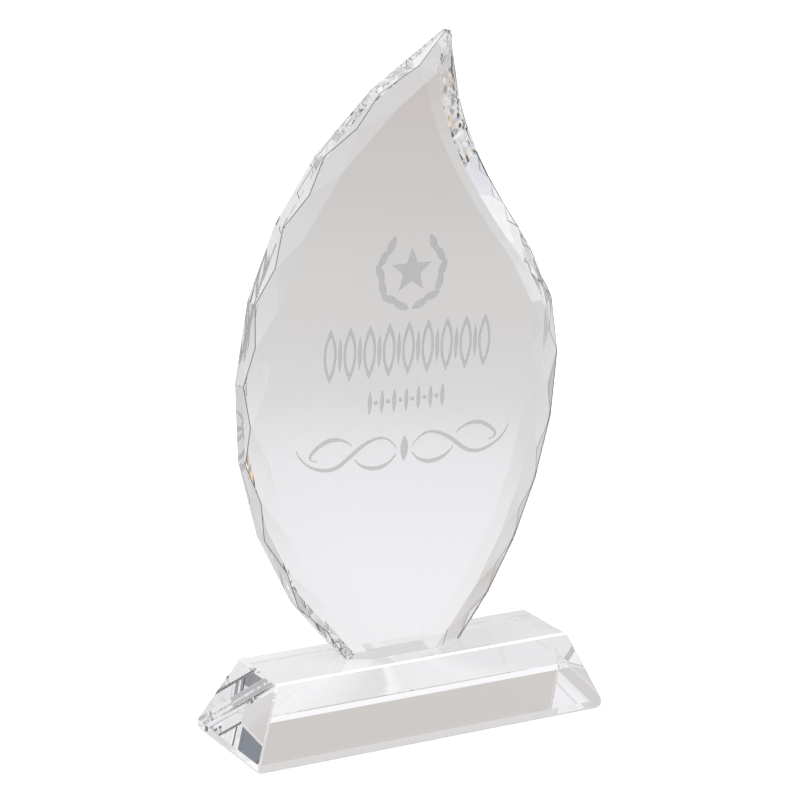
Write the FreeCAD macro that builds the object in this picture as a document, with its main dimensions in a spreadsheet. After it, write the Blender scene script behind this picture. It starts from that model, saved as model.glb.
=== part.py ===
import FreeCAD, Part
import Sketcher
import math
import os

# Crystal award: a flame-shaped plate of clear crystal glued upright on a long crystal block.
# Millimetres. +Z is up, X runs along the base, the engraved front faces -Y.
# The origin is the centre of the base's underside.

doc = FreeCAD.newDocument("crystal_award")
sheet = doc.addObject("Spreadsheet::Sheet", "dimensions")

DIMENSIONS = [
    ("base_length", 140.0),      # footprint along X
    ("base_width", 46.0),        # footprint along Y
    ("base_step", 2.8),          # upright edge under the slopes
    ("base_height", 26.8),
    ("top_length", 118.2),       # flat top of the base
    ("top_width", 27.4),
    ("base_arris", 0.6),         # polished chamfer on the base's edges
    ("film_thickness", 0.15),    # adhesive
    ("film_margin", 0.4),        # the film stops this far inside the foot's outline
    ("plate_thickness", 14.0),
    ("left_inset", 6.7),         # from the outline in to the flat face, on the long left side
    ("left_shoulder", 1.4),      # from the outline in to the tips of the first facets
    ("belly_inset", 10.1),
    ("belly_shoulder", 4.4),
    ("belly_top_inset", 6.5),    # at the belly's first corner, next to the hollow
    ("hollow_inset", 6.8),       # where the hollow ends on the belly
    ("hollow_top_inset", 9.4),   # where the hollow reaches the tip
    ("hollow_shoulder", 2.6),
    ("tip_depth", 2.3),          # depth of the first facets' tips below the flat face
    ("least_girdle", 3.0),       # least upright edge left between front and back facets
    ("tip_girdle", 1.8),         # the same at the flame's tip
    ("arris_depth", 1.0),        # the corner facets go at least this far below the first facets
    ("hollow_facets", 8),        # facets along the hollow side, up to the tip
    ("engraving_depth", 0.3),
    ("stroke_width", 0.8),       # line width of the engraving's outlined leaves
]
for row, (alias, value) in enumerate(DIMENSIONS, start=1):
    sheet.set("A%d" % row, alias)
    sheet.set("B%d" % row, str(value))
    sheet.setAlias("B%d" % row, alias)
doc.recompute()


TOLERANCE = 1e-6             # lengths and areas below this count as nothing
SAME_HEIGHT = 0.01           # heights closer than this are the same
OVERCUT = 1.0                # cutting solids stick out this far past the surface they cut
GROUND_OFF = (200.0, 60.0, 60.0)     # block that covers all of the plate below its foot


def size(alias):
    """A driving dimension, read from the sheet."""
    return float(sheet.get(alias))


# The flame's outline is a polygon of polished flats, so its corners are the facets' own corners.
# X, and height above the foot. The left side runs from below the foot up to the tip.
LEFT_CORNERS = [
    (-9.0, -19.0),
    (-26.3, 0.0),
    (-45.5, 21.5),
    (-59.5, 47.5),
    (-67.5, 75.0),
    (-69.2, 102.0),
    (-65.5, 129.5),
    (-56.0, 154.5),
    (-41.5, 177.0),
    (-21.5, 197.0),
    (4.6, 216.7),
]
# The right side's belly, from the hollow side's lower end down to below the foot.
BELLY_CORNERS = [
    (42.4, 139.4),
    (52.6, 121.5),
    (56.4, 101.5),
    (54.6, 78.0),
    (49.6, 55.5),
    (41.9, 34.5),
    (32.0, 15.5),
    (20.6, 0.0),
    (8.0, -15.0),
]
# The hollow side is a smooth curve from the tip to the belly, cut in short equal flats.
HOLLOW_CURVE = [
    (6.2, 216.3),
    (9.6, 193.0),
    (20.6, 169.8),
    (42.4, 139.4),
]


def rectangle_sketch(body, name, length_alias, width_alias, height):
    """A centred rectangle on the body's XY plane, lifted to a height given as an expression."""
    sketch = body.newObject("Sketcher::SketchObject", name)
    plane = [f for f in body.Origin.OriginFeatures if f.Role == "XY_Plane"][0]
    sketch.AttachmentSupport = [(plane, "")]
    sketch.MapMode = "FlatFace"
    if height:
        sketch.setExpression(".AttachmentOffset.Base.z", height)
    half_l = size(length_alias) / 2
    half_w = size(width_alias) / 2
    corners = [(-half_l, -half_w), (half_l, -half_w), (half_l, half_w), (-half_l, half_w)]
    for i, (x, y) in enumerate(corners):
        x_next, y_next = corners[(i + 1) % 4]
        start = FreeCAD.Vector(x, y, 0)
        end = FreeCAD.Vector(x_next, y_next, 0)
        sketch.addGeometry(Part.LineSegment(start, end), False)
    for i in range(4):
        sketch.addConstraint(Sketcher.Constraint("Coincident", i, 2, (i + 1) % 4, 1))
    for i, kind in enumerate(["Horizontal", "Vertical", "Horizontal", "Vertical"]):
        sketch.addConstraint(Sketcher.Constraint(kind, i))
    # the sketch's origin lies midway between two opposite corners
    sketch.addConstraint(Sketcher.Constraint("Symmetric", 0, 1, 1, 2, -1, 1))
    length_index = sketch.addConstraint(Sketcher.Constraint("DistanceX", 0, 1, 0, 2, 2 * half_l))
    width_index = sketch.addConstraint(Sketcher.Constraint("DistanceY", 1, 1, 1, 2, 2 * half_w))
    sketch.setExpression("Constraints[%d]" % length_index, "dimensions." + length_alias)
    sketch.setExpression("Constraints[%d]" % width_index, "dimensions." + width_alias)
    return sketch


def make_base_block():
    """The long block: an upright step, four slopes up to a flat top, and polished arrises."""
    body = doc.addObject("PartDesign::Body", "base_block")
    body.Label = "base_block"
    foot = rectangle_sketch(body, "footprint", "base_length", "base_width", None)
    step = body.newObject("PartDesign::Pad", "step")
    step.Profile = foot
    step.setExpression("Length", "dimensions.base_step")
    lower = rectangle_sketch(body, "slope_start", "base_length", "base_width",
                             "dimensions.base_step")
    upper = rectangle_sketch(body, "slope_end", "top_length", "top_width",
                             "dimensions.base_height")
    slopes = body.newObject("PartDesign::AdditiveLoft", "slopes")
    slopes.Profile = lower
    slopes.Sections = [upper]
    slopes.Ruled = True
    doc.recompute()
    arris = body.newObject("PartDesign::Chamfer", "arrises")
    # every edge but the four where the slopes start: those are left as cut
    slope_start = size("base_step")
    edges = []
    for i, edge in enumerate(slopes.Shape.Edges, start=1):
        low, high = edge.BoundBox.ZMin, edge.BoundBox.ZMax
        if abs(low - slope_start) > SAME_HEIGHT or abs(high - slope_start) > SAME_HEIGHT:
            edges.append("Edge%d" % i)
    arris.Base = (slopes, edges)
    arris.setExpression("Size", "dimensions.base_arris")
    body.Tip = arris
    doc.recompute()
    return body


def unit(x, z):
    length = math.hypot(x, z)
    return x / length, z / length


def outline_stations():
    """The outline's corners in order, clockwise from below the foot, with each one's edge sizes.

    A station is [x, z, inset, shoulder]: inset reaches in to the flat face, shoulder to the
    tips of the first facets. Along the hollow the inset widens evenly up to the tip.
    """
    curve = Part.BSplineCurve()
    curve.interpolate([FreeCAD.Vector(x, 0, z) for x, z in HOLLOW_CURVE])
    flats = int(size("hollow_facets"))
    hollow = [(p.x, p.z) for p in curve.toShape().discretize(Number=flats + 1)]
    stations = []
    for x, z in LEFT_CORNERS:
        stations.append([x, z, size("left_inset"), size("left_shoulder")])
    for i, (x, z) in enumerate(hollow):
        below_tip = i / flats
        inset = (1 - below_tip) * size("hollow_top_inset") + below_tip * size("hollow_inset")
        stations.append([x, z, inset, size("hollow_shoulder")])
    for x, z in BELLY_CORNERS[1:]:
        stations.append([x, z, size("belly_inset"), size("belly_shoulder")])
    belly_top = len(LEFT_CORNERS) + len(hollow)
    stations[belly_top][2] = size("belly_top_inset")
    return stations


def offset_line(a, b, inset_a, inset_b):
    """The flat between corners a and b, moved in towards the plate's middle."""
    tx, tz = unit(b[0] - a[0], b[1] - a[1])
    nx, nz = tz, -tx
    return ((a[0] + nx * inset_a, a[1] + nz * inset_a), (b[0] + nx * inset_b, b[1] + nz * inset_b))


def crossing(p, q, r, s):
    """Where the line through p and q meets the line through r and s."""
    d1x, d1z = q[0] - p[0], q[1] - p[1]
    d2x, d2z = s[0] - r[0], s[1] - r[1]
    cross = d1x * d2z - d1z * d2x
    t = ((r[0] - p[0]) * d2z - (r[1] - p[1]) * d2x) / cross
    return p[0] + t * d1x, p[1] + t * d1z


def side_of(p, a, b):
    """Positive where p lies inside the line from a to b."""
    return (p[0] - a[0]) * (b[1] - a[1]) - (p[1] - a[1]) * (b[0] - a[0])


def flat_face_corners(stations):
    """One corner of the flat face for each corner of the outline.

    Near the tip the two sides' insets meet, and every corner past that point shares it.
    """
    count = len(stations)
    insets = []
    for i in range(count):
        a = stations[i]
        b = stations[(i + 1) % count]
        insets.append(offset_line(a, b, a[2], b[2]))
    corners = []
    for i in range(count):
        previous = insets[i - 1]
        following = insets[i]
        corners.append(crossing(previous[0], previous[1], following[0], following[1]))
    tip = len(LEFT_CORNERS) - 1
    left_line = insets[tip - 1]
    meet = tip + 1
    while side_of(corners[meet], left_line[0], left_line[1]) < 0 or meet < tip + 2:
        meet += 1
    # the shared corner: the left side's inset line meets the hollow's first clear one
    shared = crossing(left_line[0], left_line[1], insets[meet - 1][0], insets[meet - 1][1])
    for i in range(tip, meet):
        corners[i] = shared
    return corners


def triangle(a, b, c):
    points = [FreeCAD.Vector(*p) for p in (a, b, c)]
    if (points[1] - points[0]).cross(points[2] - points[0]).Length < TOLERANCE:
        return None
    return Part.Face(Part.makePolygon(points + [points[0]]))


def make_flame_blank():
    """The plate before engraving: flat faces, three ranks of facets on each side, and a girdle."""
    stations = outline_stations()
    flat = flat_face_corners(stations)
    count = len(stations)
    half = size("plate_thickness") / 2
    deepest = half - size("least_girdle") / 2
    tip_depth = size("tip_depth")
    tips = []
    for i in range(count):
        a = stations[i]
        b = stations[(i + 1) % count]
        tx, tz = unit(b[0] - a[0], b[1] - a[1])
        shoulder = (a[3] + b[3]) / 2
        tips.append(((a[0] + b[0]) / 2 + tz * shoulder, (a[1] + b[1]) / 2 - tx * shoulder))
    # each corner facet lies in the plane of the flat face's corner and the two tips beside it
    depths = []
    for i in range(count):
        x, z = stations[i][0], stations[i][1]
        f = FreeCAD.Vector(flat[i][0], 0, flat[i][1])
        p = FreeCAD.Vector(tips[i - 1][0], tip_depth, tips[i - 1][1])
        q = FreeCAD.Vector(tips[i][0], tip_depth, tips[i][1])
        normal = (p - f).cross(q - f)
        depth = deepest
        if abs(normal.y) > TOLERANCE:
            depth = -(normal.x * (x - f.x) + normal.z * (z - f.z)) / normal.y
        depths.append(min(max(depth, tip_depth + size("arris_depth")), deepest))
    tip = len(LEFT_CORNERS) - 1
    for i in (tip, tip + 1):
        depths[i] = half - size("tip_girdle") / 2
    faces = []
    for side in (-1, 1):
        def at(point, depth):
            return (point[0], side * (half - depth), point[1])
        outline = []
        for point in flat:
            if not outline or math.dist(point, outline[-1]) > TOLERANCE:
                outline.append(point)
        loop = [FreeCAD.Vector(*at(p, 0)) for p in outline]
        faces.append(Part.Face(Part.makePolygon(loop + [loop[0]])))
        for i in range(count):
            j = (i + 1) % count
            corner = at(stations[i], depths[i])
            faces.append(triangle(at(flat[i], 0), at(flat[j], 0), at(tips[i], tip_depth)))
            faces.append(triangle(at(flat[i], 0), at(tips[i - 1], tip_depth), corner))
            faces.append(triangle(at(flat[i], 0), corner, at(tips[i], tip_depth)))
            faces.append(triangle(corner, at(tips[i], tip_depth), at(stations[j], depths[j])))
    for i in range(count):
        j = (i + 1) % count
        a, b = stations[i], stations[j]
        ring = [
            FreeCAD.Vector(a[0], -half + depths[i], a[1]),
            FreeCAD.Vector(b[0], -half + depths[j], b[1]),
            FreeCAD.Vector(b[0], half - depths[j], b[1]),
            FreeCAD.Vector(a[0], half - depths[i], a[1]),
        ]
        faces.append(Part.Face(Part.makePolygon(ring + [ring[0]])))
    shell = Part.Shell([f for f in faces if f is not None])
    shell.sewShape()
    solid = Part.Solid(shell)
    if solid.Volume < 0:
        solid.reverse()
    # the foot is ground flat where the outline crosses height 0
    length, width, height = GROUND_OFF
    below = Part.makeBox(length, width, height, FreeCAD.Vector(-length / 2, -width / 2, -height))
    return solid.cut(below).removeSplitter()


# The engraving: a star in a laurel wreath, a frieze of tall leaves, a row of slim leaves and
# beads, and a flourish. Heights are above the foot, to the middle of each.
ENGRAVING_X = -8.5
STAR_HEIGHT = 137.0
STAR_POINTS = 5
STAR_OUTER = 8.0
STAR_INNER = 3.4
WREATH_RADIUS = 12.2
WREATH_LEAVES = 6            # up each side
WREATH_STEP = 24.0           # degrees from one leaf to the next
WREATH_START = -72.0         # degrees from level to the lowest leaf
WREATH_LEAF = (7.0, 2.7)     # length and width
FRIEZE_HEIGHT = 110.3
FRIEZE_LEAVES = 9
FRIEZE_PITCH = 7.6
FRIEZE_LEAF = (18.5, 4.8)
FRIEZE_FILLER = (11.5, 1.4)
LEAF_POINT = 3               # a leaf's point is sharp: its stroke is this much longer there
ROW_HEIGHT = 92.4
ROW_LEAVES = 7
ROW_PITCH = 4.8
ROW_LEAF = (8.2, 1.5)
BEAD_RADIUS = 0.75
FLOURISH_HEIGHT = 75.0
FLOURISH_STROKE = 1.4
FLOURISH_LEAF = (9.0, 2.8)
# the flourish's right half, from its centre: a long wave and two curls
FLOURISH_LINES = [
    [(3.2, 0.5), (9.8, 4.8), (18.6, 1.5), (27.4, -4.0), (36.2, -2.5), (42.2, 4.0)],
    [(3.2, -1.5), (8.8, -5.5), (15.9, -4.6), (19.7, -1.4)],
    [(20.8, 3.2), (27.4, 6.2), (34.0, 4.2), (36.8, 0.8), (34.0, -0.6)],
]
PEN_STEPS = 16               # points along a pen stroke
PEN_TIP = 0.12               # half the stroke's width at its ends


def plane_face(points):
    loop = [FreeCAD.Vector(x, 0, z) for x, z in points]
    return Part.Face(Part.makePolygon(loop + [loop[0]]))


def leaf_face(x, z, length, width, turn):
    """A leaf of two arcs, centred on x and z, its long axis turned from upright by turn degrees."""
    top = FreeCAD.Vector(0, 0, length / 2)
    foot = FreeCAD.Vector(0, 0, -length / 2)
    right = Part.Arc(foot, FreeCAD.Vector(width / 2, 0, 0), top).toShape()
    left = Part.Arc(top, FreeCAD.Vector(-width / 2, 0, 0), foot).toShape()
    face = Part.Face(Part.Wire([right, left]))
    face.rotate(FreeCAD.Vector(0, 0, 0), FreeCAD.Vector(0, 1, 0), turn)
    face.translate(FreeCAD.Vector(x, 0, z))
    return face


def star_face(x, z, outer, inner):
    points = []
    for i in range(2 * STAR_POINTS):
        radius = outer if i % 2 == 0 else inner
        angle = math.pi / 2 - i * math.pi / STAR_POINTS
        points.append((x + radius * math.cos(angle), z + radius * math.sin(angle)))
    return plane_face(points)


def ribbon_face(points, width):
    """A pen stroke along a smooth line: thick in the middle, fine at both ends."""
    line = Part.BSplineCurve()
    line.interpolate([FreeCAD.Vector(x, 0, z) for x, z in points])
    near = []
    far = []
    for i in range(PEN_STEPS + 1):
        t = i / PEN_STEPS
        parameter = line.FirstParameter + t * (line.LastParameter - line.FirstParameter)
        here = line.value(parameter)
        direction = line.tangent(parameter)[0]
        across = FreeCAD.Vector(-direction.z, 0, direction.x)
        half_width = PEN_TIP + (width / 2 - PEN_TIP) * math.sin(math.pi * t)
        near.append(here + across * half_width)
        far.append(here - across * half_width)
    sides = []
    for row in (near, far):
        curve = Part.BSplineCurve()
        curve.interpolate(row)
        sides.append(curve.toShape())
    caps = [
        Part.makeLine(near[-1], far[-1]),
        Part.makeLine(far[0], near[0]),
    ]
    return Part.Face(Part.Wire(Part.__sortEdges__(sides + caps)))


def wreath_faces():
    """Laurel leaves up both sides of the star, leaning out and in by turns."""
    faces = []
    for side in (-1, 1):
        for i in range(WREATH_LEAVES):
            degrees = WREATH_START + WREATH_STEP * i
            angle = math.radians(degrees)
            x = ENGRAVING_X + side * WREATH_RADIUS * math.cos(angle)
            z = STAR_HEIGHT + WREATH_RADIUS * math.sin(angle)
            outward = WREATH_STEP if i % 2 else -WREATH_STEP / 4
            faces.append(leaf_face(x, z, *WREATH_LEAF, side * (outward - degrees)))
    return faces


def frieze_faces():
    """Tall outlined leaves with a slim one between each pair."""
    faces = []
    length, width = FRIEZE_LEAF
    stroke = size("stroke_width")
    start = ENGRAVING_X - FRIEZE_PITCH * (FRIEZE_LEAVES - 1) / 2
    for i in range(FRIEZE_LEAVES):
        x = start + FRIEZE_PITCH * i
        outer = leaf_face(x, FRIEZE_HEIGHT, length, width, 0)
        inner_length = length - 2 * LEAF_POINT * stroke
        inner = leaf_face(x, FRIEZE_HEIGHT, inner_length, width - 2 * stroke, 0)
        faces.append(outer.cut(inner))
        if i > 0:
            faces.append(leaf_face(x - FRIEZE_PITCH / 2, FRIEZE_HEIGHT, *FRIEZE_FILLER, 0))
    return faces


def row_faces():
    """Slim leaves and beads by turns."""
    faces = []
    start = ENGRAVING_X - ROW_PITCH * (ROW_LEAVES - 1) / 2
    for i in range(ROW_LEAVES):
        x = start + ROW_PITCH * i
        faces.append(leaf_face(x, ROW_HEIGHT, *ROW_LEAF, 0))
        if i > 0:
            centre = FreeCAD.Vector(x - ROW_PITCH / 2, 0, ROW_HEIGHT)
            rim = Part.makeCircle(BEAD_RADIUS, centre, FreeCAD.Vector(0, 1, 0))
            faces.append(Part.Face(Part.Wire(rim)))
    return faces


def flourish_faces():
    """A leaf with the same pen strokes on both sides of it."""
    faces = [leaf_face(ENGRAVING_X, FLOURISH_HEIGHT, *FLOURISH_LEAF, 0)]
    for side in (-1, 1):
        for line in FLOURISH_LINES:
            points = [(ENGRAVING_X + side * x, FLOURISH_HEIGHT + z) for x, z in line]
            faces.append(ribbon_face(points, FLOURISH_STROKE))
    return faces


def engraving_faces():
    star = star_face(ENGRAVING_X, STAR_HEIGHT, STAR_OUTER, STAR_INNER)
    return [star] + wreath_faces() + frieze_faces() + row_faces() + flourish_faces()


def make_flame_plate():
    """The finished plate: the blank with the engraving cut in its front face."""
    half = size("plate_thickness") / 2
    depth = size("engraving_depth")
    tools = []
    for face in engraving_faces():
        tool = face.extrude(FreeCAD.Vector(0, depth + OVERCUT, 0))
        tool.translate(FreeCAD.Vector(0, -half - OVERCUT, 0))
        tools.append(tool)
    blank = make_flame_blank()
    plate = doc.addObject("Part::Feature", "flame_plate")
    plate.Label = "flame_plate"
    plate.Shape = blank.cut(tools)
    foot_height = size("base_height") + size("film_thickness")
    plate.Placement = FreeCAD.Placement(FreeCAD.Vector(0, 0, foot_height), FreeCAD.Rotation())
    return plate


def make_adhesive_film(plate):
    """The cured adhesive: the foot's own outline, a little smaller, between foot and base."""
    foot_face = min(plate.Shape.Faces, key=lambda f: f.CenterOfMass.z)
    outline = foot_face.OuterWire.makeOffset2D(-size("film_margin"))
    pad = Part.Face(outline).extrude(FreeCAD.Vector(0, 0, -size("film_thickness")))
    film = doc.addObject("Part::Feature", "adhesive_film")
    film.Label = "adhesive_film"
    film.Shape = pad
    return film


base_block = make_base_block()
flame_plate = make_flame_plate()
adhesive_film = make_adhesive_film(flame_plate)
doc.recompute()

for obj in doc.Objects:
    if "Invalid" in obj.State or "Error" in obj.State:
        raise RuntimeError("%s failed to recompute: %s" % (obj.Name, obj.State))

os.makedirs("parts", exist_ok=True)
for node in (base_block, flame_plate, adhesive_film):
    shape = node.Shape
    if shape.isNull() or not shape.isValid() or len(shape.Solids) != 1:
        raise RuntimeError("%s isn't one valid solid" % node.Label)
    box = shape.BoundBox
    print(node.Label, "volume %.1f" % shape.Volume, "faces", len(shape.Faces),
          "box", [round(v, 2) for v in (box.XMin, box.XMax, box.YMin, box.YMax, box.ZMin, box.ZMax)])
    shape.exportStep("parts/%s.step" % node.Label)
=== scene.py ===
"""Crystal award: a flame-shaped plate of cut crystal bonded upright on a long crystal block."""
import math

import bmesh
import bpy
from mathutils import Matrix, Vector


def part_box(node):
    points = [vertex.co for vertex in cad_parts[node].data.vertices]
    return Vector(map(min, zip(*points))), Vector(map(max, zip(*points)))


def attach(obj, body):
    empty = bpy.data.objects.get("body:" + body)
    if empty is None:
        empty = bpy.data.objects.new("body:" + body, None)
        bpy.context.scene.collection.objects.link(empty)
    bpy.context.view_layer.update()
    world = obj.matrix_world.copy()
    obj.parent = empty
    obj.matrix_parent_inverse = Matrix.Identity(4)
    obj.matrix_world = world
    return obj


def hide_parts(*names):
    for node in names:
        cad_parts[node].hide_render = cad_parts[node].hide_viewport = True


bl_info = {
    "name": "Crystal award",
    "version": (1, 0, 0),
    "blender": (4, 5, 0),
    "location": "View3D > Sidebar > Award",
    "description": "A flame-shaped crystal plate with engraving, bonded on a sloped crystal block",
    "category": "Object",
}

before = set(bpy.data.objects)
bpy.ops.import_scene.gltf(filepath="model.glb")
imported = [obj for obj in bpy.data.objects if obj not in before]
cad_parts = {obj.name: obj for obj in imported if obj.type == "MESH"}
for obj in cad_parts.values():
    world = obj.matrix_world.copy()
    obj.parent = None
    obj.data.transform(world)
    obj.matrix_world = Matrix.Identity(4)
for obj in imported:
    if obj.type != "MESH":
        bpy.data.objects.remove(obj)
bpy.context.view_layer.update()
MM = 0.001

PLATE_LOW, PLATE_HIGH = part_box("flame_plate")
BASE_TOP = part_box("base_block")[1].z
FRONT_FACE = PLATE_LOW.y         # the plate's engraved face
WELD = 0.002 * MM                # corners closer than this are one corner
SAME_PLANE = math.radians(0.2)   # facets that turn less than this are one facet
SHARP_TURN = math.radians(20)    # back facets that turn less than this meet without an arris
UPRIGHT = 0.05                   # the girdle's normals lean less than this
LEVEL = 0.97                     # the normals of the block's top rise more than this
CHAMFER_BAND = 1.5 * MM          # the block's chamfers are narrower than this
ENGRAVING_DEPTHS = (0.1 * MM, 0.5 * MM)   # an engraved face reaches a depth between these
FOOT = 3.0 * MM                  # the plate's edges have no arris this close to the block
ZIGZAG = 0.47                    # share of the arris width that the front's zigzag edges keep
HOLLOW_LEAN = 0.2                # the hollow's facets face +X by more than this
HOLLOW_END = 199.0 * MM          # the hollow side's chipped facets stop at this height
TIP_START = 236.0 * MM           # the facets that reach above this are the tip's own
FACE_TOUCH = 0.05 * MM           # a facet that comes this close to the flat face meets it
CHIP_EVENNESS = 0.3              # how alike the chips' shifts are, 0 to 1
CHIP_SEED = 5
FILM_SWELL = 1.06                # the film's thickness as seen, against its own

# The numbers of each piece's materials, in the order in which they are given to it.
# The plate's arris and the block's back chamfer carry painted shade, and the block's front chamfer a
# painted highlight.
PLATE_CLEAR, PLATE_FROST, PLATE_PAINTED_SHADE_ARRIS, PLATE_CHIPPED = range(4)
BLOCK_CLEAR, BLOCK_PAINTED_SHADE_EDGE, BLOCK_PAINTED_HIGHLIGHT_EDGE = range(3)

RIPPLE_SCALE = 35.0
ARRIS_TRANSMISSION = 0.3
ARRIS_WEAR_SCALE = 400.0
ARRIS_ROUGHNESS = (0.15, 0.5)
# The front chamfer's painted highlight: the scale of its brightness noise, its shades and its
# roughness.
PAINTED_HIGHLIGHT_NOISE_SCALE = 300.0
PAINTED_HIGHLIGHT_SHADES = [(0.3, 0.86), (0.7, 1.0)]
BRIGHT_ROUGHNESS = 0.4
FROST_ROUGHNESS = (0.5, 0.8)
FROST_GRAINS = (0.35, 0.65)      # the noise's values for the dark and for the light grains
PIT_STRENGTH = 0.6
PIT_DEPTH = 0.05 * MM


class CrystalSettings(bpy.types.PropertyGroup):
    """The crystal's finish."""

    index: bpy.props.FloatProperty(
        name="Refractive index", description="How strongly the crystal bends light",
        default=1.53, min=1.3, max=2.0)
    tint: bpy.props.FloatVectorProperty(
        name="Tint", description="Colour left in light that has gone through the crystal",
        subtype="COLOR", size=3, min=0.0, max=1.0, default=(0.985, 0.985, 0.987))
    ripple: bpy.props.FloatProperty(
        name="Polishing ripple", description="Depth of the waviness left by polishing",
        default=0.00003 * MM, min=0.0, precision=9, unit="LENGTH")
    chip_cuts: bpy.props.IntProperty(
        name="Chip cuts", description="Cuts across each chipped facet of the hollow side",
        default=4, min=1, max=12)
    chip_size: bpy.props.FloatProperty(
        name="Chip size", description="Size of the small facets along the hollow side",
        default=1.7 * MM, min=0.0001, precision=5, unit="LENGTH")
    chip_depth: bpy.props.FloatProperty(
        name="Chip depth", description="How far the chipped facets' corners are off the plane",
        default=0.34 * MM, min=0.0, precision=5, unit="LENGTH")
    # the arris colour is painted shade: it draws the facet edges as dark lines
    arris_painted_shade_colour: bpy.props.FloatVectorProperty(
        name="Arris colour", description="Colour of the fine edges between facets",
        subtype="COLOR", size=3, min=0.0, max=1.0, default=(0.13, 0.125, 0.12))
    arris: bpy.props.FloatProperty(
        name="Arris", description="Width of the fine polished edge between facets",
        default=0.36 * MM, min=0.0, precision=5, unit="LENGTH")


class EngravingSettings(bpy.types.PropertyGroup):
    """The sandblasted engraving."""

    light_grain: bpy.props.FloatVectorProperty(
        name="Light grain", description="Colour of the frost's lighter grains",
        subtype="COLOR", size=3, min=0.0, max=1.0, default=(0.64, 0.635, 0.645))
    dark_grain: bpy.props.FloatVectorProperty(
        name="Dark grain", description="Colour of the frost's darker grains",
        subtype="COLOR", size=3, min=0.0, max=1.0, default=(0.54, 0.535, 0.545))
    grain_size: bpy.props.FloatProperty(
        name="Grain size", description="Size of the sandblasted grains",
        default=0.25 * MM, min=0.00001, precision=5, unit="LENGTH")


class StageSettings(bpy.types.PropertyGroup):
    """The camera and the studio."""

    azimuth: bpy.props.FloatProperty(
        name="Azimuth", description="The camera's turn round the award, from straight in front",
        default=math.radians(-31.67), subtype="ANGLE")
    elevation: bpy.props.FloatProperty(
        name="Elevation", description="The camera's angle above the table",
        default=math.radians(15.692), subtype="ANGLE")
    roll: bpy.props.FloatProperty(
        name="Roll", description="The camera's tilt about its own axis",
        default=math.radians(2.438), subtype="ANGLE")
    distance: bpy.props.FloatProperty(
        name="Distance", description="From the camera to the award",
        default=0.97459, unit="LENGTH")
    aim_across: bpy.props.FloatProperty(
        name="Aim across", description="The aim's shift to the right of the origin",
        default=-0.96 * MM, precision=5, unit="LENGTH")
    aim_up: bpy.props.FloatProperty(
        name="Aim up", description="The aim's shift above the origin, square to the view",
        default=111.88 * MM, precision=5, unit="LENGTH")
    lens: bpy.props.FloatProperty(
        name="Lens", description="Focal length in millimetres on a 36 mm sensor",
        default=123.82, min=1.0)
    floor_colour: bpy.props.FloatVectorProperty(
        name="Floor colour", description="The table's colour",
        subtype="COLOR", size=3, min=0.0, max=1.0, default=(0.95, 0.95, 0.95))
    surround_strength: bpy.props.FloatProperty(
        name="Surround strength", description="Brightness of the studio as the crystal sees it",
        default=1.0, min=0.0)


def deselect_everything():
    if bpy.context.object is not None and bpy.context.object.mode != "OBJECT":
        bpy.ops.object.mode_set(mode="OBJECT")
    bpy.ops.object.select_all(action="DESELECT")


def make_active(obj):
    deselect_everything()
    obj.select_set(True)
    bpy.context.view_layer.objects.active = obj


def welded_copy(node_name, name):
    """A piece in the shape of a CAD node, with whole facets in place of loose triangles."""
    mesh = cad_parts[node_name].data.copy()
    mesh.name = name
    mesh.materials.clear()
    piece = bpy.data.objects.new(name, mesh)
    bpy.context.collection.objects.link(piece)
    make_active(piece)
    bpy.ops.object.mode_set(mode="EDIT")
    bpy.ops.mesh.select_mode(type="VERT")
    bpy.ops.mesh.select_all(action="SELECT")
    bpy.ops.mesh.remove_doubles(threshold=WELD)
    bpy.ops.mesh.dissolve_limited(angle_limit=SAME_PLANE, use_dissolve_boundaries=False)
    bpy.ops.mesh.customdata_custom_splitnormals_clear()
    bpy.ops.mesh.faces_shade_flat()
    bpy.ops.object.mode_set(mode="OBJECT")
    return piece


def polish_edges(piece, width, edge_share, finish):
    """A fine chamfer along each edge, as the last polishing leaves.

    edge_share gives an edge's share of the width, 0 for none. finish is the number of the
    chamfer's own material."""
    mesh = bmesh.new()
    mesh.from_mesh(piece.data)
    weights = mesh.edges.layers.float.get("bevel_weight_edge")
    if weights is None:
        weights = mesh.edges.layers.float.new("bevel_weight_edge")
    for edge in mesh.edges:
        edge[weights] = edge_share(edge)
    mesh.to_mesh(piece.data)
    mesh.free()
    bevel = piece.modifiers.new("arris", "BEVEL")
    bevel.limit_method = "WEIGHT"
    bevel.width = width
    bevel.segments = 1
    bevel.use_clamp_overlap = False
    bevel.harden_normals = False
    bevel.material = finish
    make_active(piece)
    bpy.ops.object.modifier_apply(modifier=bevel.name)


def new_material(name):
    """A material with its nodes, their links and its main shader."""
    material = bpy.data.materials.new(name)
    material.use_nodes = True
    nodes = material.node_tree.nodes
    return material, nodes, material.node_tree.links, nodes["Principled BSDF"]


def object_noise(nodes, links, scale, detail):
    """A noise texture that is fixed to the piece."""
    place = nodes.new("ShaderNodeTexCoord")
    noise = nodes.new("ShaderNodeTexNoise")
    noise.inputs["Scale"].default_value = scale
    noise.inputs["Detail"].default_value = detail
    links.new(place.outputs["Object"], noise.inputs["Vector"])
    return noise


def rough_by(nodes, links, value, limits, shader):
    """Makes the shader's roughness follow a noise between two limits."""
    roughness = nodes.new("ShaderNodeMapRange")
    roughness.inputs["To Min"].default_value = limits[0]
    roughness.inputs["To Max"].default_value = limits[1]
    links.new(value, roughness.inputs["Value"])
    links.new(roughness.outputs["Result"], shader.inputs["Roughness"])


def ramp_stops(ramp, stops):
    """Sets a ramp's stops from (position, brightness or colour) pairs."""
    elements = ramp.color_ramp.elements
    while len(elements) > 1:
        elements.remove(elements[-1])
    for i, (position, value) in enumerate(stops):
        element = elements[0] if i == 0 else elements.new(position)
        element.position = position
        colour = value if isinstance(value, tuple) else (value, value, value)
        element.color = (*colour, 1.0)


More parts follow.
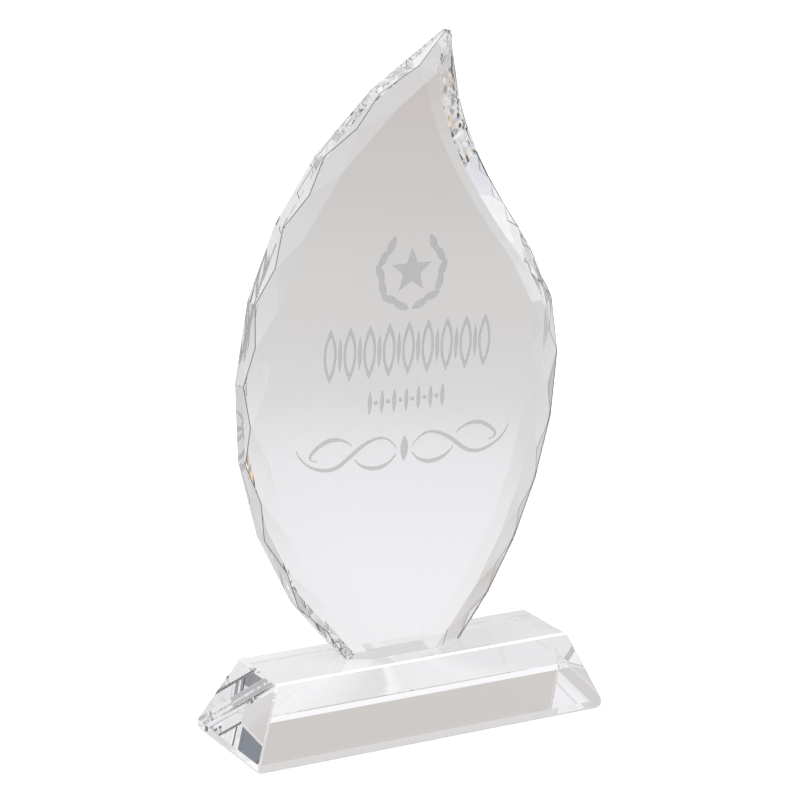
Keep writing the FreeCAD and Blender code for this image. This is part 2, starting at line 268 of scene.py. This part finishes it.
def crystal_material(name):
    """Clear polished crystal with a trace of polishing ripple."""
    settings = bpy.context.scene.award_crystal
    material, nodes, links, shader = new_material(name)
    shader.inputs["Base Color"].default_value = (*settings.tint, 1.0)
    shader.inputs["Transmission Weight"].default_value = 1.0
    shader.inputs["IOR"].default_value = settings.index
    shader.inputs["Roughness"].default_value = 0.0
    waves = object_noise(nodes, links, RIPPLE_SCALE, 1.0)
    ripple = nodes.new("ShaderNodeBump")
    ripple.inputs["Strength"].default_value = 1.0
    ripple.inputs["Distance"].default_value = settings.ripple
    links.new(waves.outputs["Fac"], ripple.inputs["Height"])
    links.new(ripple.outputs["Normal"], shader.inputs["Normal"])
    return material


# Painted sparkle on the chips: most stay clear, a few are painted near-black or grey as painted
# shade, and a few orange or blue as painted coloured glints. Each colour holds from its share of
# the chips, 0 to 1, up to the next one's.
CHIP_PAINTED_SPARKLE = [
    (0.00, (0.02, 0.02, 0.02)),
    (0.09, (0.85, 0.50, 0.28)),
    (0.12, (0.35, 0.45, 0.85)),
    (0.15, (0.35, 0.34, 0.33)),
    (0.22, (0.80, 0.79, 0.79)),
    (0.42, (1.00, 1.00, 1.00)),
]


def chipped_painted_sparkle_material(name):
    """Crystal ground in many small facets, each of which catches another part of the studio, with
    painted sparkle in its colours.
    """
    settings = bpy.context.scene.award_crystal
    material, nodes, links, shader = new_material(name)
    shader.inputs["Transmission Weight"].default_value = 1.0
    shader.inputs["IOR"].default_value = settings.index
    shader.inputs["Roughness"].default_value = 0.0
    place = nodes.new("ShaderNodeTexCoord")
    chips = nodes.new("ShaderNodeTexVoronoi")
    chips.inputs["Scale"].default_value = 1.0 / settings.chip_size
    links.new(place.outputs["Object"], chips.inputs["Vector"])
    parts = nodes.new("ShaderNodeSeparateColor")
    links.new(chips.outputs["Color"], parts.inputs["Color"])
    shades = nodes.new("ShaderNodeValToRGB")
    shades.color_ramp.interpolation = "CONSTANT"
    ramp_stops(shades, CHIP_PAINTED_SPARKLE)
    links.new(parts.outputs["Red"], shades.inputs["Fac"])
    links.new(shades.outputs["Color"], shader.inputs["Base Color"])
    return material


def painted_shade_arris_material(name):
    """The fine edge between facets, painted dark and only partly clear: painted shade that draws it
    as a grey line.
    """
    settings = bpy.context.scene.award_crystal
    material, nodes, links, shader = new_material(name)
    shader.inputs["Base Color"].default_value = (*settings.arris_painted_shade_colour, 1.0)
    shader.inputs["Transmission Weight"].default_value = ARRIS_TRANSMISSION
    shader.inputs["IOR"].default_value = settings.index
    wear_and_sheen = object_noise(nodes, links, ARRIS_WEAR_SCALE, 2.0)
    rough_by(nodes, links, wear_and_sheen.outputs["Fac"], ARRIS_ROUGHNESS, shader)
    return material


def painted_highlight_arris_material(name):
    """A fine edge painted near-white, with noise in its brightness: a painted highlight that draws it
    as a bright line.
    """
    material, nodes, links, shader = new_material(name)
    wear_and_sheen = object_noise(nodes, links, PAINTED_HIGHLIGHT_NOISE_SCALE, 2.0)
    shades = nodes.new("ShaderNodeValToRGB")
    ramp_stops(shades, PAINTED_HIGHLIGHT_SHADES)
    links.new(wear_and_sheen.outputs["Fac"], shades.inputs["Fac"])
    links.new(shades.outputs["Color"], shader.inputs["Base Color"])
    shader.inputs["Roughness"].default_value = BRIGHT_ROUGHNESS
    shader.inputs["IOR"].default_value = bpy.context.scene.award_crystal.index
    return material


def frost_material(name):
    """Sandblasted crystal: fine grey grains that scatter light."""
    settings = bpy.context.scene.award_engraving
    material, nodes, links, shader = new_material(name)
    grains = object_noise(nodes, links, 1.0 / settings.grain_size, 3.0)
    ramp = nodes.new("ShaderNodeValToRGB")
    ramp_stops(ramp, zip(FROST_GRAINS, (tuple(settings.dark_grain), tuple(settings.light_grain))))
    links.new(grains.outputs["Fac"], ramp.inputs["Fac"])
    links.new(ramp.outputs["Color"], shader.inputs["Base Color"])
    shader.inputs["Transmission Weight"].default_value = 1.0
    shader.inputs["IOR"].default_value = bpy.context.scene.award_crystal.index
    rough_by(nodes, links, grains.outputs["Fac"], FROST_ROUGHNESS, shader)
    pits = nodes.new("ShaderNodeBump")
    pits.inputs["Strength"].default_value = PIT_STRENGTH
    pits.inputs["Distance"].default_value = PIT_DEPTH
    links.new(grains.outputs["Fac"], pits.inputs["Height"])
    links.new(pits.outputs["Normal"], shader.inputs["Normal"])
    return material


def finish_piece(piece, node_name):
    """Hangs a piece on the root body and hides the CAD node that it stands in for."""
    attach(piece, "root")
    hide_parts(node_name)


def is_engraved(face):
    """Whether a face is a floor or wall of the shallow engraving in the plate's front."""
    depths = [v.co.y - FRONT_FACE for v in face.verts]
    return ENGRAVING_DEPTHS[0] < max(depths) < ENGRAVING_DEPTHS[1]


def is_hollow_facet(face):
    """Whether a face is one of the front's inner facets along the hollow side."""
    if face.normal.x < HOLLOW_LEAN or face.normal.y > 0 or is_engraved(face):
        return False
    if face.calc_center_median().z < HOLLOW_END or max(v.co.z for v in face.verts) > TIP_START:
        return False
    depths = [PLATE_HIGH.y - abs(v.co.y) for v in face.verts]
    return min(depths) < FACE_TOUCH


def chip_hollow_facets(plate):
    """Cut the hollow side's first facets up into many small hand-ground ones, which sparkle."""
    settings = bpy.context.scene.award_crystal
    make_active(plate)
    bpy.ops.object.mode_set(mode="EDIT")
    bpy.ops.mesh.select_mode(type="FACE")
    bpy.ops.mesh.select_all(action="DESELECT")
    mesh = bmesh.from_edit_mesh(plate.data)
    for face in mesh.faces:
        face.select_set(is_hollow_facet(face))
        if face.select:
            face.material_index = PLATE_CHIPPED
    bmesh.update_edit_mesh(plate.data)
    bpy.ops.mesh.quads_convert_to_tris()
    bpy.ops.mesh.subdivide(number_cuts=settings.chip_cuts)
    mesh = bmesh.from_edit_mesh(plate.data)
    inner = [v for v in mesh.verts if v.link_faces and all(f.select for f in v.link_faces)]
    bpy.ops.mesh.select_mode(type="VERT")
    bpy.ops.mesh.select_all(action="DESELECT")
    for corner in inner:
        corner.select_set(True)
    bmesh.update_edit_mesh(plate.data)
    bpy.ops.transform.vertex_random(offset=settings.chip_depth, uniform=CHIP_EVENNESS,
                                    normal=0.0, seed=CHIP_SEED)
    bpy.ops.mesh.select_all(action="SELECT")
    bpy.ops.mesh.select_mode(type="FACE")
    bpy.ops.object.mode_set(mode="OBJECT")


def on_girdle(vertex):
    """Whether a corner belongs to the upright band round the plate's rim."""
    return any(abs(f.normal.y) < UPRIGHT and not is_engraved(f) for f in vertex.link_faces)


def girdle_edge_share(edge):
    """Which of the rim's edges keep an arris: the girdle's back edge, and at the front the
    zigzag between the girdle's own facets and the next."""
    if len(edge.link_faces) != 2 or any(f.material_index for f in edge.link_faces):
        return 0.0
    ends = [on_girdle(v) for v in edge.verts]
    if edge.calc_face_angle(0.0) < SAME_PLANE or not any(ends):
        return 0.0
    middle = (edge.verts[0].co + edge.verts[1].co) / 2
    if middle.z < BASE_TOP + FOOT:
        return 0.0
    beside_girdle = any(abs(f.normal.y) < UPRIGHT for f in edge.link_faces)
    if middle.y > 0:
        return 1.0 if beside_girdle and all(ends) and edge.calc_face_angle() > SHARP_TURN else 0.0
    facets = [sum(on_girdle(v) for v in f.verts) for f in edge.link_faces]
    return ZIGZAG if not beside_girdle and not all(ends) and max(facets) == 2 else 0.0


class AWARD_OT_flame_plate(bpy.types.Operator):
    """Make the faceted flame-shaped plate with its frosted engraving"""

    bl_idname = "award.flame_plate"
    bl_label = "Flame plate"

    def execute(self, context):
        settings = context.scene.award_crystal
        plate = welded_copy("flame_plate", "crystal_flame_plate")
        plate.data.materials.append(crystal_material("plate_crystal"))
        plate.data.materials.append(frost_material("sandblasted_frost"))
        plate.data.materials.append(painted_shade_arris_material("plate_arris_painted_shade"))
        plate.data.materials.append(chipped_painted_sparkle_material("chipped_crystal_painted_sparkle"))

        mesh = bmesh.new()
        mesh.from_mesh(plate.data)
        for face in mesh.faces:
            face.material_index = PLATE_FROST if is_engraved(face) else PLATE_CLEAR
        mesh.to_mesh(plate.data)
        mesh.free()
        chip_hollow_facets(plate)
        # the arris takes the painted-shade material, which draws the girdle's edges as dark lines
        if settings.arris > 0:
            polish_edges(plate, settings.arris, girdle_edge_share, PLATE_PAINTED_SHADE_ARRIS)
        finish_piece(plate, "flame_plate")
        return {"FINISHED"}


def edge_lengths(mesh, face):
    places = [mesh.vertices[i].co for i in face.vertices]
    return [(a - b).length for a, b in zip(places, places[1:] + places[:1])]


def chamfer_painted_light(mesh, face):
    """The material of a face of the block: its two long top chamfers carry painted light, so the
    front one reads as a bright line, a painted highlight, and the back one as a grey line, painted
    shade."""
    width = min(edge_lengths(mesh, face))
    if face.center.z < BASE_TOP - CHAMFER_BAND or face.normal.z > LEVEL or width > CHAMFER_BAND:
        return BLOCK_CLEAR
    if abs(face.normal.y) < abs(face.normal.x):
        return BLOCK_CLEAR
    return BLOCK_PAINTED_HIGHLIGHT_EDGE if face.normal.y < 0 else BLOCK_PAINTED_SHADE_EDGE


class AWARD_OT_base_block(bpy.types.Operator):
    """Make the long block with sloped sides that the plate stands on"""

    bl_idname = "award.base_block"
    bl_label = "Base block"

    def execute(self, context):
        block = welded_copy("base_block", "crystal_base_block")
        block.data.materials.append(crystal_material("base_crystal"))
        block.data.materials.append(painted_shade_arris_material("base_arris"))
        block.data.materials.append(painted_highlight_arris_material("base_painted_highlight_arris"))
        for face in block.data.polygons:
            face.material_index = chamfer_painted_light(block.data, face)
        finish_piece(block, "base_block")
        return {"FINISHED"}


class AWARD_OT_adhesive_film(bpy.types.Operator):
    """Make the clear adhesive film that bonds the plate to the block"""

    bl_idname = "award.adhesive_film"
    bl_label = "Adhesive film"

    def execute(self, context):
        film = welded_copy("adhesive_film", "clear_adhesive_film")
        # the film swells a little into both pieces, so no air is left at either face
        low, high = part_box("adhesive_film")
        middle = (low.z + high.z) / 2
        make_active(film)
        bpy.ops.object.mode_set(mode="EDIT")
        bpy.ops.mesh.select_all(action="SELECT")
        bpy.ops.transform.resize(value=(1.0, 1.0, FILM_SWELL), center_override=(0.0, 0.0, middle))
        bpy.ops.object.mode_set(mode="OBJECT")
        film.data.materials.append(crystal_material("clear_adhesive"))
        finish_piece(film, "adhesive_film")
        return {"FINISHED"}


# The table as the crystal sees it, by distance in metres: it is bright close by, falls off
# with the distance, and is a little paler again at its far edge.
TABLE_DISTANCES = [
    (0.00, (0.89, 0.89, 0.905)),
    (0.16, (0.88, 0.88, 0.895)),
    (0.32, (0.82, 0.82, 0.835)),
    (0.42, (0.72, 0.712, 0.72)),
    (0.55, (0.675, 0.665, 0.66)),
    (0.70, (0.66, 0.65, 0.638)),
    (0.93, (0.615, 0.603, 0.59)),
    (1.30, (0.60, 0.56, 0.558)),
    (1.66, (0.525, 0.496, 0.47)),
    (3.00, (0.56, 0.535, 0.525)),
    (5.00, (0.64, 0.62, 0.62)),
]
TABLE_REACH = 5.0            # radius of the studio as the crystal sees it, in metres
LIT_TABLE_RADIUS = 4.95
TABLE_WIDTH = 12.0
TABLE_DROP = 0.5 * MM        # the table lies this far below the block
LIT_TABLE_DROP = 0.4 * MM
# The studio above the table by height: the sine of the angle above the horizon.
# Behind the award, some way towards +X, stands a grey sweep, with a bright ceiling over it.
SWEEP_HEIGHTS = [
    (-0.03, (0.66, 0.64, 0.64)),
    (0.16, (0.72, 0.70, 0.70)),
    (0.28, (0.66, 0.63, 0.62)),
    (0.44, (0.60, 0.575, 0.56)),
    (0.50, (0.88, 0.88, 0.90)),
    (1.00, (0.90, 0.90, 0.91)),
]
# Elsewhere the studio is grey to the same height, then bright, with a darker band high up.
AROUND_HEIGHTS = [
    (-0.05, (0.74, 0.73, 0.75)),
    (0.04, (0.70, 0.69, 0.69)),
    (0.16, (0.70, 0.69, 0.68)),
    (0.44, (0.68, 0.66, 0.65)),
    (0.48, (0.86, 0.86, 0.89)),
    (0.58, (0.92, 0.92, 0.95)),
    (0.64, (0.55, 0.55, 0.57)),
    (0.80, (0.50, 0.50, 0.52)),
    (1.00, (0.90, 0.90, 0.91)),
]
# How much of the sweep is seen by turn: 0 degrees is +Y, behind the award, and 90 is +X.
SWEEP_SIDES = [
    (-180, 0.0),
    (22, 0.0),
    (27, 1.0),
    (36.5, 1.0),
    (41, 0.0),
    (180, 0.0),
]
# A shade over all of it by turn.
SURROUND_SIDES = [
    (-180, 0.95),
    (-60, 1.06),
    (-25, 0.90),
    (-6, 0.88),
    (1, 1.10),
    (6, 1.06),
    (14, 0.98),
    (24, 1.0),
    (45, 1.0),
    (54, 1.03),
    (66, 0.92),
    (80, 0.92),
    (110, 0.98),
    (180, 0.95),
]


def turn_position(degrees):
    """A direction's place on the surround's turn scale, 0 to 1."""
    return (degrees + 180.0) / 360.0


def bare_material(name):
    """A material with nothing but its output."""
    material = bpy.data.materials.new(name)
    material.use_nodes = True
    nodes = material.node_tree.nodes
    nodes.remove(nodes["Principled BSDF"])
    return material, nodes, material.node_tree.links


def ramp_node(nodes, links, value, stops):
    """The colour that a value has on a new ramp."""
    ramp = nodes.new("ShaderNodeValToRGB")
    ramp_stops(ramp, stops)
    links.new(value, ramp.inputs["Fac"])
    return ramp.outputs["Color"]


def turn_value(nodes, links, parts):
    """A place's turn round the award, 0 to 1, where 0.5 is straight behind it."""
    turn = nodes.new("ShaderNodeMath")
    turn.operation = "ARCTAN2"
    links.new(parts.outputs["X"], turn.inputs[0])
    links.new(parts.outputs["Y"], turn.inputs[1])
    around = nodes.new("ShaderNodeMapRange")
    around.inputs["From Min"].default_value = -math.pi
    around.inputs["From Max"].default_value = math.pi
    links.new(turn.outputs["Value"], around.inputs["Value"])
    return around.outputs["Result"]


def mixed(nodes, links, blend, share, first, second):
    """Two colours mixed: share is a number or a socket."""
    mix = nodes.new("ShaderNodeMix")
    mix.data_type = "RGBA"
    mix.blend_type = blend
    if isinstance(share, float):
        mix.inputs[0].default_value = share
    else:
        links.new(share, mix.inputs[0])
    links.new(first, mix.inputs[6])
    links.new(second, mix.inputs[7])
    return mix.outputs[2]


def give_glow(nodes, links, colour, strength):
    """Makes a bare material glow in a colour."""
    glow = nodes.new("ShaderNodeEmission")
    glow.inputs["Strength"].default_value = strength
    links.new(colour, glow.inputs["Color"])
    links.new(glow.outputs["Emission"], nodes["Material Output"].inputs["Surface"])


def side_stops(turns):
    """A ramp's stops from (turn in degrees, value) pairs."""
    return [(turn_position(turn), value) for turn, value in turns]


def surround_material(strength):
    """The studio above the table, by direction."""
    material, nodes, links = bare_material("studio_surround")
    place = nodes.new("ShaderNodeTexCoord")
    direction = nodes.new("ShaderNodeVectorMath")
    direction.operation = "NORMALIZE"
    links.new(place.outputs["Object"], direction.inputs[0])
    parts = nodes.new("ShaderNodeSeparateXYZ")
    links.new(direction.outputs["Vector"], parts.inputs["Vector"])
    height = nodes.new("ShaderNodeMapRange")
    height.inputs["From Min"].default_value = -1.0
    links.new(parts.outputs["Z"], height.inputs["Value"])
    bands = []
    for heights in (AROUND_HEIGHTS, SWEEP_HEIGHTS):
        stops = [((z + 1) / 2, value) for z, value in heights]
        bands.append(ramp_node(nodes, links, height.outputs["Result"], stops))
    turn = turn_value(nodes, links, parts)
    sweep = ramp_node(nodes, links, turn, side_stops(SWEEP_SIDES))
    shade = ramp_node(nodes, links, turn, side_stops(SURROUND_SIDES))
    studio = mixed(nodes, links, "MIX", sweep, *bands)
    give_glow(nodes, links, mixed(nodes, links, "MULTIPLY", 1.0, studio, shade), strength)
    return material


def lit_table_material(strength):
    """The table's brightness by distance from the award and by turn round it."""
    material, nodes, links = bare_material("lit_table")
    place = nodes.new("ShaderNodeTexCoord")
    distance = nodes.new("ShaderNodeVectorMath")
    distance.operation = "LENGTH"
    links.new(place.outputs["Object"], distance.inputs[0])
    share = nodes.new("ShaderNodeMapRange")
    share.inputs["From Max"].default_value = TABLE_REACH
    links.new(distance.outputs["Value"], share.inputs["Value"])
    stops = [(metres / TABLE_REACH, value) for metres, value in TABLE_DISTANCES]
    top = ramp_node(nodes, links, share.outputs["Result"], stops)
    parts = nodes.new("ShaderNodeSeparateXYZ")
    links.new(place.outputs["Object"], parts.inputs["Vector"])
    shade = ramp_node(nodes, links, turn_value(nodes, links, parts), side_stops(SURROUND_SIDES))
    give_glow(nodes, links, mixed(nodes, links, "MULTIPLY", 1.0, top, shade), strength)
    return material


# Cards hung high in the studio, which only the crystal sees: turn, height and half width in
# degrees, half height, and colour.
HIGH_CARDS = [
    ("slate_card_left", -112, 27, 9, 7, (0.16, 0.18, 0.22)),
    ("slate_card_near_left", -80, 15, 3, 9, (0.14, 0.15, 0.17)),
    ("grey_card_high", 50, 43, 9, 3, (0.26, 0.26, 0.27)),
    ("dark_card_over", 150, 50, 14, 3, (0.04, 0.04, 0.05)),
    ("white_card_high", 32, 34, 30, 2.2, (1.0, 1.0, 1.02)),
    ("blue_card_left", -101.5, 27, 1.0, 7, (0.45, 0.58, 0.95)),
    ("orange_card_left", -122.5, 27, 1.0, 7, (0.95, 0.72, 0.5)),
]
HIGH_CARD_DISTANCE = 3.0
# Cards standing on the table: turn and half width in degrees, distance and height in metres,
# and colour.
STANDING_CARDS = [
    ("slate_card_right", 79, 9, 0.36, 0.075, (0.18, 0.175, 0.18)),
    ("orange_card_right", 68.5, 1.2, 0.36, 0.075, (0.95, 0.70, 0.48)),
    ("dark_card_back", -15, 2, 0.9, 0.25, (0.05, 0.05, 0.06)),
    ("orange_card", -12.2, 0.6, 0.9, 0.25, (0.95, 0.66, 0.42)),
    ("blue_card", -17.8, 0.6, 0.9, 0.25, (0.42, 0.55, 0.95)),
    ("dark_card_side", 112, 2.5, 0.9, 0.35, (0.05, 0.05, 0.06)),
    ("orange_card_side", 115.4, 0.8, 0.9, 0.35, (0.95, 0.68, 0.44)),
    ("blue_card_side", 108.6, 0.8, 0.9, 0.35, (0.42, 0.55, 0.95)),
    ("dark_card_front", -160, 3, 0.9, 0.30, (0.04, 0.04, 0.05)),
]


def only_for_crystal(thing):
    """Hide a part of the studio from the camera and from the light, but not from the crystal."""
    thing.visible_camera = False
    thing.visible_diffuse = False
    thing.visible_shadow = False


def studio_card(name, turn, height, distance, rise, size, colour):
    """A plain card that faces the award. Its size is half its width and half its height."""
    outward = Vector((math.sin(turn) * math.cos(height), math.cos(turn) * math.cos(height),
                      math.sin(height)))
    deselect_everything()
    bpy.ops.mesh.primitive_plane_add(size=2.0)
    card = bpy.context.object
    card.name = name
    card.scale = (*size, 1.0)
    card.location = outward * distance + Vector((0.0, 0.0, rise))
    card.rotation_euler = outward.to_track_quat("Z", "Y").to_euler()
    material, nodes, links = bare_material(name)
    glow = nodes.new("ShaderNodeEmission")
    glow.inputs["Color"].default_value = (*colour, 1.0)
    links.new(glow.outputs["Emission"], nodes["Material Output"].inputs["Surface"])
    card.data.materials.append(material)
    only_for_crystal(card)


def high_card(name, turn, height, half_width, half_height, colour):
    """A card hung high in the studio."""
    size = [HIGH_CARD_DISTANCE * math.tan(math.radians(half)) for half in (half_width, half_height)]
    studio_card(name, math.radians(turn), math.radians(height), HIGH_CARD_DISTANCE, 0.0, size, colour)


def standing_card(name, turn, half_width, distance, tall, colour):
    """A card that stands on the table."""
    across = distance * math.tan(math.radians(half_width))
    studio_card(name, math.radians(turn), 0.0, distance, tall / 2, (across, tall / 2), colour)


# The softboxes: place and width in metres, and power in watts.
SOFTBOXES = [
    ("overhead_softbox", (0.0, -0.2, 1.6), 1.6, 9.0),
    ("left_softbox", (-1.6, -0.8, 0.9), 1.2, 7.0),
    ("right_softbox", (1.5, -0.9, 0.8), 1.2, 5.0),
]
SOFTBOX_AIM = (0.0, 0.0, 0.12)
SENSOR_WIDTH = 36.0          # millimetres
VIEW_END = 50.0              # how far the camera sees, in metres
MOST_BOUNCES = 64
CRYSTAL_BOUNCES = 48


def studio_light(name, place, width, power):
    """A square softbox aimed at the middle of the award."""
    data = bpy.data.lights.new(name, "AREA")
    data.shape = "SQUARE"
    data.size = width
    data.energy = power
    light = bpy.data.objects.new(name, data)
    light.location = place
    aim = Vector(place) - Vector(SOFTBOX_AIM)
    light.rotation_euler = aim.to_track_quat("Z", "Y").to_euler()
    bpy.context.collection.objects.link(light)
    light.visible_camera = False
    light.visible_transmission = False


class AWARD_OT_stage(bpy.types.Operator):
    """Set the camera, the pale table, the soft studio light, the surround and its cards"""

    bl_idname = "award.stage"
    bl_label = "Stage"

    def execute(self, context):
        scene = context.scene
        settings = scene.award_stage
        self.set_camera(scene, settings)
        self.set_table(settings)
        self.set_surround(settings)
        for card in HIGH_CARDS:
            high_card(*card)
        for card in STANDING_CARDS:
            standing_card(*card)
        for softbox in SOFTBOXES:
            studio_light(*softbox)
        self.set_world(scene)
        scene.view_settings.view_transform = "Standard"
        scene.cycles.max_bounces = MOST_BOUNCES
        scene.cycles.transmission_bounces = CRYSTAL_BOUNCES
        scene.cycles.glossy_bounces = CRYSTAL_BOUNCES
        scene.cycles.caustics_reflective = False
        scene.cycles.caustics_refractive = False
        return {"FINISHED"}

    def set_world(self, scene):
        world = bpy.data.worlds.new("white_studio")
        scene.world = world
        world.use_nodes = True
        background = world.node_tree.nodes["Background"]
        background.inputs["Color"].default_value = (1.0, 1.0, 1.0, 1.0)
        background.inputs["Strength"].default_value = 1.0

    def set_camera(self, scene, settings):
        a, e, r = settings.azimuth, settings.elevation, settings.roll
        back = Vector((math.sin(a) * math.cos(e), -math.cos(a) * math.cos(e), math.sin(e)))
        level = (-back).cross(Vector((0.0, 0.0, 1.0))).normalized()
        upright = level.cross(-back)
        right = level * math.cos(r) + upright * math.sin(r)
        up = upright * math.cos(r) - level * math.sin(r)
        place = right * settings.aim_across + up * settings.aim_up + back * settings.distance
        data = bpy.data.cameras.new("award_camera")
        data.lens = settings.lens
        data.sensor_width = SENSOR_WIDTH
        data.clip_end = VIEW_END
        camera = bpy.data.objects.new("award_camera", data)
        turn = Matrix((right, up, back)).transposed().to_4x4()
        camera.matrix_world = Matrix.Translation(place) @ turn
        bpy.context.collection.objects.link(camera)
        scene.camera = camera

    def set_table(self, settings):
        deselect_everything()
        bpy.ops.mesh.primitive_plane_add(size=TABLE_WIDTH, location=(0.0, 0.0, -TABLE_DROP))
        table = bpy.context.object
        table.name = "table"
        material, nodes, links, shader = new_material("pale_table")
        shader.inputs["Base Color"].default_value = (*settings.floor_colour, 1.0)
        shader.inputs["Roughness"].default_value = 0.9
        shader.inputs["Specular IOR Level"].default_value = 0.0
        shader.inputs["Emission Color"].default_value = (1.0, 1.0, 1.0, 1.0)
        shader.inputs["Emission Strength"].default_value = 0.5
        table.data.materials.append(material)
        table.visible_transmission = False
        table.visible_glossy = False
        table.visible_shadow = False

    def set_surround(self, settings):
        deselect_everything()
        bpy.ops.mesh.primitive_uv_sphere_add(segments=96, ring_count=48, radius=TABLE_REACH)
        surround = bpy.context.object
        surround.name = "surround"
        surround.data.materials.append(surround_material(settings.surround_strength))
        only_for_crystal(surround)
        deselect_everything()
        bpy.ops.mesh.primitive_circle_add(vertices=96, radius=LIT_TABLE_RADIUS, fill_type="NGON",
                                          location=(0.0, 0.0, -LIT_TABLE_DROP))
        lit_table = bpy.context.object
        lit_table.name = "lit_table"
        lit_table.data.materials.append(lit_table_material(settings.surround_strength))
        only_for_crystal(lit_table)


class AWARD_PT_panel(bpy.types.Panel):
    """The award's pieces and their sizes and colours"""

    bl_idname = "AWARD_PT_panel"
    bl_label = "Crystal award"
    bl_space_type = "VIEW_3D"
    bl_region_type = "UI"
    bl_category = "Award"

    def draw(self, context):
        layout = self.layout
        for operator in PIECES:
            layout.operator(operator.bl_idname)
        layout.operator(AWARD_OT_stage.bl_idname)
        for group in (context.scene.award_crystal, context.scene.award_engraving,
                      context.scene.award_stage):
            box = layout.box()
            for name in group.bl_rna.properties.keys():
                if name not in ("name", "rna_type"):
                    box.prop(group, name)


PIECES = (AWARD_OT_base_block, AWARD_OT_adhesive_film, AWARD_OT_flame_plate)
CLASSES = (CrystalSettings, EngravingSettings, StageSettings, *PIECES, AWARD_OT_stage,
           AWARD_PT_panel)


def register():
    for cls in CLASSES:
        bpy.utils.register_class(cls)
    bpy.types.Scene.award_crystal = bpy.props.PointerProperty(type=CrystalSettings)
    bpy.types.Scene.award_engraving = bpy.props.PointerProperty(type=EngravingSettings)
    bpy.types.Scene.award_stage = bpy.props.PointerProperty(type=StageSettings)


def unregister():
    del bpy.types.Scene.award_stage
    del bpy.types.Scene.award_engraving
    del bpy.types.Scene.award_crystal
    for cls in reversed(CLASSES):
        bpy.utils.unregister_class(cls)


def main():
    register()
    bpy.ops.award.stage()
    bpy.ops.award.base_block()
    bpy.ops.award.adhesive_film()
    bpy.ops.award.flame_plate()
    deselect_everything()


if __name__ == "__main__":
    main()
